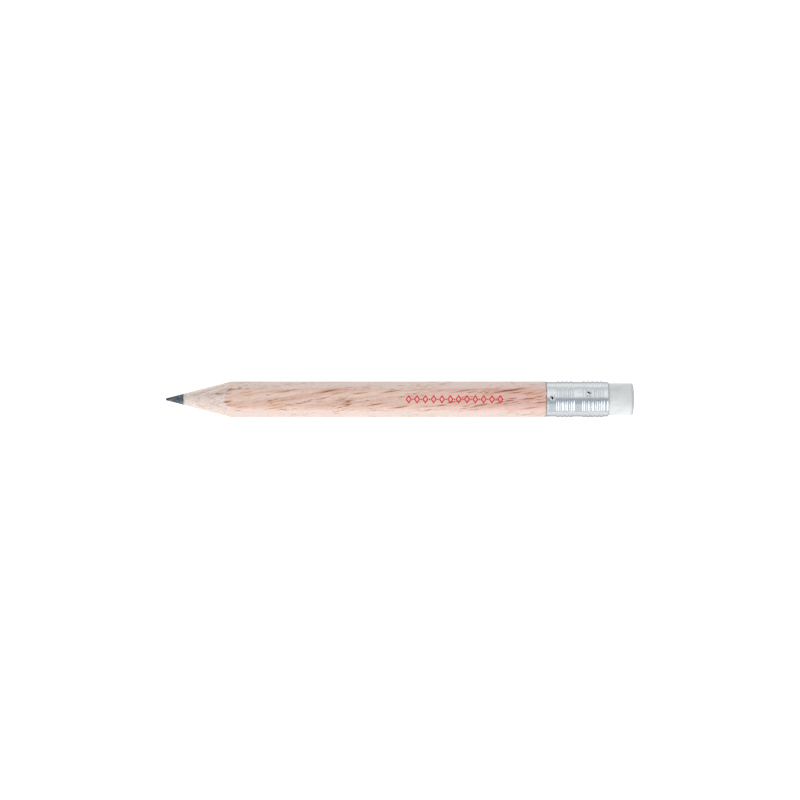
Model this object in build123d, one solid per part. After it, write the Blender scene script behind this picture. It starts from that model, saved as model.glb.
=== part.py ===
from build123d import *

import os
from math import asin, atan, cos, degrees, radians, sin, sqrt, tan

# A half-length hexagonal graphite pencil with a crimped ferrule and an eraser, lying on a table.
#
# Two grooved slats, glued face to face, hold the lead. The front end is sharpened to a cone. The
# back end is turned down to a round tenon, and a ribbed aluminium ferrule on that tenon carries
# the eraser. Two rings of punched dimples hold the ferrule to the wood and to the eraser.
#
# Frame: the pencil lies along X with its point at -X, and Z is up. The origin is on the table,
# under the middle of the pencil's length. Sizes are in millimetres and degrees. "From the point"
# means a distance measured along the pencil, starting at the tip of the lead.

# Whole pencil
LENGTH = 100.0              # tip of the lead to the end of the eraser
WOOD_END = 87.6             # from the point to the end of the tenon
CONE_ANGLE = 29.0           # full angle of the sharpened cone
POINT_RADIUS = 0.28         # the point is slightly blunt

# Barrel
ACROSS_FLATS = 6.95
CORNER_RADIUS = 1.25        # rounding of the six long corners
TENON_DIAMETER = 6.8
TENON_CHAMFER = 0.3

# Lead and glue
LEAD_DIAMETER = 2.35
GLUE_THICKNESS = 0.05       # between the slats and around the lead

# Ferrule
FERRULE_START = 81.2        # from the point
FERRULE_LENGTH = 13.2
FERRULE_DIAMETER = 7.35     # outside, on the plain bands
FERRULE_WALL = 0.25
RIB_HEIGHT = 0.15
RIB_PITCH = 0.92
RIB_GROUPS = [(2.55, 4), (8.05, 5)]         # first crest from the ferrule's mouth, number of ribs

# Punched dimples: a ring in the wood, and a ring in the eraser
DIMPLES_PER_RING = 3
DIMPLE_RINGS = [(1.2, 5.0), (9.0, 23.0)]    # from the ferrule's mouth, first angle from the top
DIMPLE_RADIUS = 0.5         # at the ferrule's surface
DIMPLE_DEPTH = 0.42
PUNCH_TIP_RADIUS = 0.04
SLIT_LENGTH = 0.6           # the punch tears a short slit in the bottom of each dimple
SLIT_WIDTH = 0.16
POCKET_CLEARANCE = 0.02     # around a dimple, in the wood and the eraser

# Eraser: a straight plug outside the ferrule, squeezed to a slight taper inside it
ERASER_DIAMETER = 6.9
ERASER_GRIPPED = 6.84       # where it enters the ferrule
ERASER_INNER_DIAMETER = 6.6
ERASER_START = 88.0         # from the point
ERASER_EDGE_RADIUS = 0.45
ERASER_DOME_RADIUS = 16.0   # the end bulges by 0.3

# Printed ornament on the top flat: open lozenges with a dot between each two
PRINT_START = 51.2          # from the point
LOZENGES = 12
LOZENGE_PITCH = 1.77
LOZENGE_LENGTH = 1.32
LOZENGE_WIDTH = 1.9
STROKE = 0.3
DOT_RADIUS = 0.17
INK_THICKNESS = 0.02

# Worked out from the sizes above
HALF_ANGLE = CONE_ANGLE / 2
LEAD_RADIUS = LEAD_DIAMETER / 2
GROOVE_RADIUS = LEAD_RADIUS + GLUE_THICKNESS
FERRULE_RADIUS = FERRULE_DIAMETER / 2
FERRULE_BORE = FERRULE_RADIUS - FERRULE_WALL
FERRULE_END = FERRULE_START + FERRULE_LENGTH
APEX = POINT_RADIUS - POINT_RADIUS / sin(radians(HALF_ANGLE))   # of the cone with no blunt point
AXIS_HEIGHT = FERRULE_RADIUS + RIB_HEIGHT   # the ribs touch the table
CLEAR_OF_BARREL = ACROSS_FLATS              # a radius well outside the barrel


def along(distance):
    """X of a place given as a distance from the point."""
    return distance - LENGTH / 2


def cone_reaches(radius):
    """X at which the sharpened cone has grown to this radius."""
    return along(APEX + radius / tan(radians(HALF_ANGLE)))


def turned(outline):
    """Solid of revolution about the pencil's axis, from a closed outline of (x, radius)."""
    return revolve(make_face(outline), Axis.X)


def rod(radius, start, end):
    """Round rod on the pencil's axis, from X start to X end."""
    return turned(Polyline((start, 0), (start, radius), (end, radius), (end, 0), close=True))


def wood_envelope():
    """What sharpening and turning leave of a blank: the cone, the full barrel and the tenon."""
    shoulder, end = along(FERRULE_START), along(WOOD_END)
    tenon = TENON_DIAMETER / 2
    return turned(
        Polyline(
            (cone_reaches(0), 0),
            (cone_reaches(CLEAR_OF_BARREL), CLEAR_OF_BARREL),
            (shoulder, CLEAR_OF_BARREL),
            (shoulder, tenon),
            (end - TENON_CHAMFER, tenon),
            (end, tenon - TENON_CHAMFER),
            (end, 0),
            close=True,
        )
    )


def sharpened_blank():
    """The whole wooden body, sharpened and turned, before the lead and glue are taken out of it."""
    hexagon = RegularPolygon(ACROSS_FLATS / 2, 6, major_radius=False)
    section = fillet(hexagon.vertices(), CORNER_RADIUS)
    start = cone_reaches(0)
    prism = extrude(Plane.YZ.offset(start) * section, along(WOOD_END) - start)
    return prism & wood_envelope()


def glue_space():
    """The joint plane between the slats together with the grooves for the lead."""
    plane = Box(2 * LENGTH, 2 * ACROSS_FLATS, GLUE_THICKNESS)
    return plane + rod(GROOVE_RADIUS, along(APEX), along(LENGTH))


def dimple_frames(ring):
    """Frames of one ring's dimples: on the ferrule's surface, Z outwards, X along the pencil."""
    from_mouth, first_angle = ring
    for n in range(DIMPLES_PER_RING):
        angle = first_angle + 360 * n / DIMPLES_PER_RING
        outwards = (0, sin(radians(angle)), cos(radians(angle)))
        centre = (
            along(FERRULE_START + from_mouth),
            FERRULE_RADIUS * outwards[1],
            FERRULE_RADIUS * outwards[2],
        )
        yield Plane(origin=centre, x_dir=(1, 0, 0), z_dir=outwards)


def punched(tip_depth, top_depth):
    """Cone that a punch makes, between these depths below the ferrule's surface."""
    height = tip_depth - top_depth
    top_radius = PUNCH_TIP_RADIUS + height * (DIMPLE_RADIUS - PUNCH_TIP_RADIUS) / DIMPLE_DEPTH
    cone = Cone(
        PUNCH_TIP_RADIUS, top_radius, height, align=(Align.CENTER, Align.CENTER, Align.MIN)
    )
    return Pos(0, 0, -tip_depth) * cone


def dimple_pockets(ring):
    """Dents that a ring of dimples leaves in what the ferrule holds."""
    pocket = punched(DIMPLE_DEPTH + FERRULE_WALL + POCKET_CLEARANCE, 0)
    return [frame * pocket for frame in dimple_frames(ring)]


def slats():
    """The upper and the lower slat, with the dents of the ferrule's first ring of dimples."""
    wood = sharpened_blank() - glue_space() - dimple_pockets(DIMPLE_RINGS[0])
    lower, upper = wood.solids().sort_by(Axis.Z)
    return upper, lower


def glue_film():
    """One cured film: two wings between the slats, and the sleeve that bonds the lead."""
    lead_hole = rod(LEAD_RADIUS, along(APEX), along(LENGTH))
    return (sharpened_blank() & glue_space()) - lead_hole


def lead():
    """The graphite core, sharpened with the wood to a blunt point."""
    tilt = radians(HALF_ANGLE)
    tip = CenterArc((along(POINT_RADIUS), 0), POINT_RADIUS, 90 + HALF_ANGLE, 90 - HALF_ANGLE)
    tangent = (along(POINT_RADIUS * (1 - sin(tilt))), POINT_RADIUS * cos(tilt))
    end = along(WOOD_END)
    sides = Polyline(
        tangent,
        (cone_reaches(LEAD_RADIUS), LEAD_RADIUS),
        (end, LEAD_RADIUS),
        (end, 0),
        (along(0), 0),
    )
    return turned([tip, sides])


def rib(crest, foot_radius):
    """One rounded rib of the ferrule's wall: a hollow, the crest, and a hollow, all tangent."""
    quarter, half_height = RIB_PITCH / 4, RIB_HEIGHT / 2
    bend = (quarter**2 + half_height**2) / RIB_HEIGHT
    turn = atan(half_height / quarter)
    dx, dr = bend * sin(turn), bend * (1 - cos(turn))
    foot, shoulder = foot_radius, foot_radius + half_height
    left, right = crest - 2 * quarter, crest + 2 * quarter
    return [
        ThreePointArc((left, foot), (left + dx, foot + dr), (crest - quarter, shoulder)),
        ThreePointArc(
            (crest - quarter, shoulder), (crest, foot + RIB_HEIGHT), (crest + quarter, shoulder)
        ),
        ThreePointArc((crest + quarter, shoulder), (right - dx, foot + dr), (right, foot)),
    ]


def ribbed_line(radius):
    """Edges of the ferrule's wall at this radius, from its mouth to the eraser end."""
    edges, reached = [], along(FERRULE_START)
    for first, count in RIB_GROUPS:
        for n in range(count):
            crest = along(FERRULE_START + first + n * RIB_PITCH)
            if crest - RIB_PITCH / 2 - reached > RIB_HEIGHT:
                edges.append(Line((reached, radius), (crest - RIB_PITCH / 2, radius)))
            edges += rib(crest, radius)
            reached = crest + RIB_PITCH / 2
    return edges + [Line((reached, radius), (along(FERRULE_END), radius))]


def ferrule():
    """Drawn aluminium tube with two groups of ribs and two rings of pierced dimples."""
    rims = [
        Line((x, FERRULE_BORE), (x, FERRULE_RADIUS))
        for x in (along(FERRULE_START), along(FERRULE_END))
    ]
    shell = turned(ribbed_line(FERRULE_RADIUS) + ribbed_line(FERRULE_BORE) + rims)
    dent = punched(DIMPLE_DEPTH, -2 * RIB_HEIGHT)
    boss = punched(DIMPLE_DEPTH + FERRULE_WALL, FERRULE_WALL / 2)
    slit = Box(SLIT_WIDTH, SLIT_LENGTH, 4 * DIMPLE_DEPTH)
    frames = [frame for ring in DIMPLE_RINGS for frame in dimple_frames(ring)]
    shell += [frame * boss for frame in frames]
    return shell - [frame * (dent + slit) for frame in frames]


def eraser():
    """Vinyl plug with a domed, rounded end, dented by the ferrule's second ring of dimples."""
    radius = ERASER_DIAMETER / 2
    start, end = along(ERASER_START), along(LENGTH)
    dome_centre = end - ERASER_DOME_RADIUS
    apart = ERASER_DOME_RADIUS - ERASER_EDGE_RADIUS
    lifted = radius - ERASER_EDGE_RADIUS
    corner_centre = dome_centre + sqrt(apart**2 - lifted**2)
    meeting = degrees(asin(lifted / apart))
    dome = CenterArc((dome_centre, 0), ERASER_DOME_RADIUS, 0, meeting)
    corner = CenterArc((corner_centre, lifted), ERASER_EDGE_RADIUS, meeting, 90 - meeting)
    sides = Polyline(
        (corner_centre, radius),
        (along(FERRULE_END), radius),
        (along(FERRULE_END), ERASER_GRIPPED / 2),
        (start, ERASER_INNER_DIAMETER / 2),
        (start, 0),
        (end, 0),
    )
    plug = turned([corner, dome, sides])
    return plug - dimple_pockets(DIMPLE_RINGS[1])


def lozenge(length, width):
    """Diamond with these diagonals."""
    return make_face(
        Polyline((-length / 2, 0), (0, width / 2), (length / 2, 0), (0, -width / 2), close=True)
    )


def printed_ornament():
    """Film of ink on the top flat of the barrel."""
    inner = 1 - 2 * STROKE / LOZENGE_LENGTH
    ring = lozenge(LOZENGE_LENGTH, LOZENGE_WIDTH) - lozenge(
        LOZENGE_LENGTH * inner, LOZENGE_WIDTH * inner
    )
    shapes = []
    for n in range(LOZENGES):
        x = along(PRINT_START) + LOZENGE_LENGTH / 2 + n * LOZENGE_PITCH
        shapes.append(Pos(x, 0) * ring)
        if n + 1 < LOZENGES:
            shapes.append(Pos(x + LOZENGE_PITCH / 2, 0) * Circle(DOT_RADIUS))
    return Compound([
        Pos(0, 0, ACROSS_FLATS / 2) * solid
        for shape in shapes
        for solid in extrude(shape, INK_THICKNESS).solids()
    ])


def main():
    """Writes each piece of the pencil, lifted so that the ribs rest on the table."""
    upper, lower = slats()
    pieces = {
        "upper_slat": upper,
        "lower_slat": lower,
        "glue_film": glue_film(),
        "graphite_lead": lead(),
        "ferrule": ferrule(),
        "eraser": eraser(),
        "printed_ornament": printed_ornament(),
    }
    os.makedirs("parts", exist_ok=True)
    for name, shape in pieces.items():
        export_step(Pos(0, 0, AXIS_HEIGHT) * shape, f"parts/{name}.step")


main()
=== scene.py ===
"""The looks of a half-length hexagonal graphite pencil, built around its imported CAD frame.

The frame gives the places: the pencil lies along X with its point at -X, Z is up, and the origin is
on the table under the middle of its length. Everything is in metres. Sizes that a person would give
in millimetres are written as a number times MM. Angles around the pencil's axis start at +Y and run
over the top towards -Y.

Each sub-assembly is a class that works out its surfaces as whole numpy arrays, and each finish is a
frozen dataclass that paints one real material.
"""

import logging
from dataclasses import dataclass
from enum import Enum
from math import asin, cos, pi, radians, sin, tan
from typing import Any, Callable

import bmesh
import bpy
import numpy as np
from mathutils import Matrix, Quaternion, Vector


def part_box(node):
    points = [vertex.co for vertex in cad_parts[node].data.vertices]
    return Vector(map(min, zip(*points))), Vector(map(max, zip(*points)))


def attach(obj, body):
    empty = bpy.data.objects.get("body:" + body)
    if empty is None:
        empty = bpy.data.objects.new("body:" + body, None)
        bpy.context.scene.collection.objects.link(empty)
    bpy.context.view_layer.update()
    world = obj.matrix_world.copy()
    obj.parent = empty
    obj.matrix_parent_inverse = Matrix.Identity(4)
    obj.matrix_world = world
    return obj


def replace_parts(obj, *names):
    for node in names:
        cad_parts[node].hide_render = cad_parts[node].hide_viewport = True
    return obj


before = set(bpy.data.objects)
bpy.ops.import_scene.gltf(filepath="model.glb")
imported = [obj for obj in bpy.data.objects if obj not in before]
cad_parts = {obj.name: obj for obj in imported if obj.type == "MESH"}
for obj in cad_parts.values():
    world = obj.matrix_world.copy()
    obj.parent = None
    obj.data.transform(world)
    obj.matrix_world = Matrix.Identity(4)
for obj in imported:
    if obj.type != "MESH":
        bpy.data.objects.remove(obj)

MM = 0.001
BODY = "root"

Socket = bpy.types.NodeSocket
Tree = bpy.types.NodeTree

log = logging.getLogger("pencil")


# --------------------------------------------------------------------------------------- places


@dataclass(frozen=True)
class Layout:
    """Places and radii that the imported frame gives, and the sizes that its boxes can't.

    Lengths along the pencil are X values, and radii are measured from the pencil's axis.
    """

    axis: float
    point: float
    shoulder: float
    wood_end: float
    eraser_start: float
    ferrule_end: float
    end: float
    flat: float
    lead: float
    crest: float
    eraser: float
    half_angle: float = radians(14.5)
    blunting: float = 0.28 * MM
    rib_height: float = 0.15 * MM
    wall: float = 0.25 * MM

    @classmethod
    def from_frame(cls) -> "Layout":
        """Reads the boxes of the CAD nodes.

        Returns:
            The places of this pencil.
        """
        slat_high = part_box("upper_slat")[1]
        lead_low, lead_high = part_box("graphite_lead")
        ferrule_low, ferrule_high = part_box("ferrule")
        eraser_low, eraser_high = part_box("eraser")
        axis = (ferrule_low.z + ferrule_high.z) / 2
        return cls(
            axis=axis,
            point=lead_low.x,
            shoulder=ferrule_low.x,
            wood_end=slat_high.x,
            eraser_start=eraser_low.x,
            ferrule_end=ferrule_high.x,
            end=eraser_high.x,
            flat=slat_high.z - axis,
            lead=(lead_high.z - lead_low.z) / 2,
            crest=ferrule_high.z - axis,
            eraser=(eraser_high.z - eraser_low.z) / 2,
        )

    @property
    def tube(self) -> float:
        """Outer radius of the ferrule between its ribs."""
        return self.crest - self.rib_height

    @property
    def apex(self) -> float:
        """X of the sharpened cone's apex, in front of the blunt point."""
        return self.point + self.blunting - self.blunting / sin(self.half_angle)

    def cone_reaches(self, radius: Any) -> Any:
        """X at which the sharpened cone has grown to a radius, or to each radius of an array."""
        return self.apex + radius / tan(self.half_angle)

    def around(self, x: Any, radius: Any, angle: Any) -> np.ndarray:
        """Points around the pencil's axis: y is radius cos(angle), and z is axis + radius sin(angle).

        Args:
            x: Places along the pencil.
            radius: Distances from the axis.
            angle: Angles from +Y, over the top.

        Returns:
            Points of the shape that the three arrays have together, with a last axis of 3.
        """
        x, radius, angle = np.broadcast_arrays(x, radius, angle)
        return np.stack([x, radius * np.cos(angle), self.axis + radius * np.sin(angle)], axis=-1)


def smooth(low: float, high: float, values: np.ndarray) -> np.ndarray:
    """Cubic step: 0 up to low, 1 from high, and 3t² - 2t³ between them."""
    t = np.clip((values - low) / (high - low), 0, 1)
    return t * t * (3 - 2 * t)


def crowded(low: float, high: float, count: int, density: Callable) -> np.ndarray:
    """Places from low to high that crowd together where a density is high.

    The running total of the density is divided into equal steps, and each step's end is a place.

    Args:
        low: First place.
        high: Last place.
        count: How many places.
        density: Function of an array of places that gives the density at each.

    Returns:
        The places, in order, with both ends among them.
    """
    fine = np.linspace(low, high, 40 * count)
    total = np.concatenate([[0.0], np.cumsum((density(fine)[1:] + density(fine)[:-1]) / 2)])
    return np.interp(np.linspace(0, total[-1], count), total, fine)


def ripple(angle: np.ndarray, seed: int, waves: range) -> np.ndarray:
    """A closed random curve between about -1 and 1: a sum of waves around the axis.

    Args:
        angle: Angles at which the curve is wanted.
        seed: Number that the random phases start from.
        waves: How many waves each term has in one turn.

    Returns:
        The curve's height at each angle.
    """
    phases = np.random.default_rng(seed).uniform(0, 2 * pi, len(waves))
    numbers = np.array(waves)
    return np.cos(numbers * angle[..., None] + phases).sum(-1) / np.sqrt(len(waves)) / 1.5


# --------------------------------------------------------------------------------------- meshes


class Shell:
    """A closed mesh that is put together from patches of points.

    A patch is a two-dimensional array of points. Its neighbours along rows and columns are joined by
    quads, and patches that share point numbers are sewn together by them.
    """

    def __init__(self) -> None:
        """Starts with no points and no faces."""
        self._points: list[np.ndarray] = []
        self._marks: list[np.ndarray] = []
        self._faces: list[tuple[np.ndarray, int]] = []
        self._count = 0

    def add(self, points: np.ndarray, mark: np.ndarray | float = 0.0) -> np.ndarray:
        """Keeps points, with a number that a material may read at each.

        Args:
            points: Array of points, with a last axis of 3.
            mark: The number at each point, as an array or one value for all.

        Returns:
            The points' numbers, in the array's own shape.
        """
        shape = points.shape[:-1]
        numbers = np.arange(self._count, self._count + int(np.prod(shape))).reshape(shape)
        self._points.append(points.reshape(-1, 3))
        self._marks.append(np.broadcast_to(mark, shape).reshape(-1))
        self._count += numbers.size
        return numbers

    def skin(self, numbers: np.ndarray, finish: int = 0) -> None:
        """Adds a quad between each four neighbours in a two-dimensional array of point numbers."""
        quads = [numbers[:-1, :-1], numbers[:-1, 1:], numbers[1:, 1:], numbers[1:, :-1]]
        self._faces.append((np.stack(quads, axis=-1).reshape(-1, 4), finish))

    def fan(self, ring: np.ndarray, tip: np.ndarray, finish: int = 0) -> None:
        """Adds a triangle from each side of a closed ring of point numbers to one tip."""
        corners = [ring, np.roll(ring, -1), np.broadcast_to(tip, ring.shape)]
        self._faces.append((np.stack(corners, axis=-1), finish))

    def piece(self, name: str, finishes: list["Finish"], crease: float) -> bpy.types.Object:
        """Makes the mesh and its object, with every face pointing outwards.

        Args:
            name: Name of the object and its mesh.
            finishes: Finishes, in the order of the numbers given to skin and fan.
            crease: Edges that turn by more than this angle stay sharp.

        Returns:
            The new object, at the origin, linked to the scene.
        """
        corners = np.concatenate([np.full(len(f), f.shape[1]) for f, _ in self._faces])
        starts = np.concatenate([[0], np.cumsum(corners)[:-1]])
        finish = np.concatenate([np.full(len(faces), number) for faces, number in self._faces])
        mesh = bpy.data.meshes.new(name)
        mesh.vertices.add(self._count)
        mesh.vertices.foreach_set("co", np.concatenate(self._points).astype(np.float32).ravel())
        mesh.loops.add(int(corners.sum()))
        mesh.loops.foreach_set("vertex_index", np.concatenate([f.ravel() for f, _ in self._faces]))
        mesh.polygons.add(len(corners))
        mesh.polygons.foreach_set("loop_start", starts)
        mesh.polygons.foreach_set("material_index", finish)
        mesh.update(calc_edges=True)
        marks = mesh.attributes.new("mark", "FLOAT", "POINT")
        marks.data.foreach_set("value", np.concatenate(self._marks).astype(np.float32))
        outward = bmesh.new()
        outward.from_mesh(mesh)
        bmesh.ops.recalc_face_normals(outward, faces=outward.faces)
        outward.to_mesh(mesh)
        outward.free()
        mesh.polygons.foreach_set("use_smooth", np.ones(len(corners), bool))
        mesh.set_sharp_from_angle(angle=crease)
        for each in finishes:
            mesh.materials.append(each.material())
        made = bpy.data.objects.new(name, mesh)
        bpy.context.scene.collection.objects.link(made)
        return made


def ringed(numbers: np.ndarray) -> np.ndarray:
    """Repeats the first column after the last, so that a patch closes around the axis."""
    return np.concatenate([numbers, numbers[:, :1]], axis=1)


# --------------------------------------------------------------------------------------- finishes

# Settings of two kinds of node: a Map Range that eases in and out, and a Mix of two colours.
EASED = {"interpolation_type": "SMOOTHSTEP"}
COLOURS = {"data_type": "RGBA"}


def linear(colour: str) -> tuple[float, float, float, float]:
    """Turns an sRGB hex value such as "#a0b0c0" to linear red, green, blue and an alpha of 1."""
    parts = [int(colour[i : i + 2], 16) / 255 for i in (1, 3, 5)]
    levels = [p / 12.92 if p <= 0.04045 else ((p + 0.055) / 1.055) ** 2.4 for p in parts]
    return (levels[0], levels[1], levels[2], 1.0)


def feed(tree: Tree, node: bpy.types.Node, inputs: dict[Any, Any]) -> None:
    """Sets a node's inputs, by name or number: to constants, or to the outputs that feed them."""
    for key, value in inputs.items():
        if isinstance(value, Socket):
            tree.links.new(value, node.inputs[key])
        else:
            node.inputs[key].default_value = value


def add_node(
    tree: Tree, kind: str, inputs: dict[Any, Any], output: int | str = 0, **settings: Any
) -> Socket:
    """Adds a node with its settings and links.

    Args:
        tree: Node tree that gets the node.
        kind: The node's type, without its "ShaderNode" start.
        inputs: Input name or number to a value, or to the output that feeds it.
        output: Name or number of the output that is wanted.
        settings: The node's own settings.

    Returns:
        The wanted output.
    """
    made = tree.nodes.new("ShaderNode" + kind)
    for name, value in settings.items():
        setattr(made, name, value)
    feed(tree, made, inputs)
    return made.outputs[output]


def layered(tree: Tree, ground: Socket | str, *layers: tuple[Socket, str]) -> Socket:
    """Lays colours over each other.

    Args:
        tree: Node tree that gets the nodes.
        ground: The lowest colour, as an output or a hex value.
        layers: Share and hex value of each colour over it, from the lowest up.

    Returns:
        The colour seen from above.
    """
    shade: Any = linear(ground) if isinstance(ground, str) else ground
    for share, colour in layers:
        shade = add_node(tree, "Mix", {0: share, 6: shade, 7: linear(colour)}, 2, **COLOURS)
    return shade


def grains(
    tree: Tree, places: Socket, size: tuple, detail: float = 2.0, shift: float = 0.0
) -> Socket:
    """Noise with grains of a given size.

    Args:
        tree: Node tree that gets the nodes.
        places: Coordinates in millimetres.
        size: Length of a grain in X, Y and Z, in millimetres.
        detail: Octaves of finer noise.
        shift: Moves the pattern, so that two of them differ.

    Returns:
        The noise, from 0 to 1, and mostly within 0.1 of 0.5.
    """
    inputs = {0: places, 1: tuple(1 / side for side in size), 2: (shift, shift, shift)}
    scaled = add_node(tree, "VectorMath", inputs, operation="MULTIPLY_ADD")
    inputs = {"Vector": scaled, "Scale": 1.0, "Detail": detail, "Roughness": 0.55}
    return add_node(tree, "TexNoise", inputs)


@dataclass(frozen=True)
class Finish:
    """What every finish shares: a name, and one material that is made the first time."""

    name: str

    def material(self) -> bpy.types.Material:
        """Finds the finish's material, or makes it and paints it.

        Returns:
            The material.
        """
        found = bpy.data.materials.get(self.name)
        if found:
            return found
        made = bpy.data.materials.new(self.name)
        made.use_nodes = True
        self.paint(made.node_tree, made.node_tree.nodes["Principled BSDF"])
        return made

    def paint(self, tree: Tree, shader: bpy.types.Node) -> None:
        """Adds the finish's nodes and links them to the shader."""
        raise NotImplementedError

    def dress(self, node: bpy.types.Object) -> None:
        """Gives the whole of a CAD node this finish."""
        node.data.materials.clear()
        node.data.materials.append(self.material())

    @staticmethod
    def millimetres(tree: Tree, centre: tuple, turn: float = 0.0) -> Socket:
        """The piece's own coordinates in millimetres, from a centre and turned about Z."""
        own = add_node(tree, "TexCoord", {}, "Object")
        moved = add_node(tree, "VectorMath", {0: own, 1: centre}, operation="SUBTRACT")
        inputs = {"Vector": moved, "Scale": (1 / MM,) * 3, "Rotation": (0, 0, -turn)}
        return add_node(tree, "Mapping", inputs)


@dataclass(frozen=True)
class Fleck:
    """One of the few large flecks of the wood: its middle, its size in millimetres and its depth."""

    x: float
    y: float
    length: float
    width: float
    depth: float


# The largest flecks on the printed flat, from the torn marks at the lacquer's edge to the dark fan
# in front of the ferrule.
LARGE_FLECKS = (
    Fleck(-36.9, -0.53, 1.7, 0.34, 1.0),
    Fleck(-36.9, 1.27, 1.5, 0.28, 0.8),
    Fleck(-36.7, -1.26, 1.2, 0.26, 0.7),
    Fleck(-33.2, 1.4, 2.6, 0.26, 0.6),
    Fleck(-32.2, 0.75, 1.6, 0.24, 0.6),
    Fleck(-33.9, -1.7, 2.0, 0.26, 0.6),
    Fleck(-27.0, -1.9, 3.6, 0.24, 0.7),
    Fleck(-24.2, 1.8, 4.4, 0.28, 0.7),
    Fleck(-24.0, -0.2, 6.0, 0.18, 0.6),
    Fleck(-26.5, -1.2, 3.0, 0.20, 0.5),
    Fleck(-16.6, 0.25, 2.8, 0.22, 0.8),
    Fleck(-15.2, 1.75, 5.0, 0.30, 0.9),
    Fleck(-13.4, 1.32, 2.0, 0.22, 0.8),
    Fleck(-11.4, -0.45, 2.8, 0.22, 0.7),
    Fleck(-8.6, 1.35, 3.0, 0.24, 0.8),
    Fleck(-6.9, 2.7, 2.2, 0.24, 0.7),
    Fleck(-5.2, -1.0, 3.2, 0.24, 0.9),
    Fleck(-2.2, 1.65, 3.4, 0.26, 0.8),
    Fleck(-0.2, -1.6, 3.6, 0.24, 0.9),
    Fleck(13.6, 1.75, 4.2, 0.20, 0.8),
    Fleck(23.4, 1.9, 8.0, 0.36, 1.0),
    Fleck(24.6, 1.45, 3.0, 0.26, 0.9),
    Fleck(27.2, 1.3, 2.6, 0.24, 0.8),
    Fleck(29.0, 1.25, 2.8, 0.22, 0.7),
    Fleck(27.4, 0.22, 3.4, 0.26, 0.9),
    Fleck(30.0, -0.6, 2.8, 0.24, 0.9),
    Fleck(27.6, -1.85, 3.2, 0.20, 0.8),
)


class Surface(Enum):
    """Which part of a slat a beech finish covers."""

    OUTSIDE = "outside"
    INSIDE = "inside"


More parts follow.
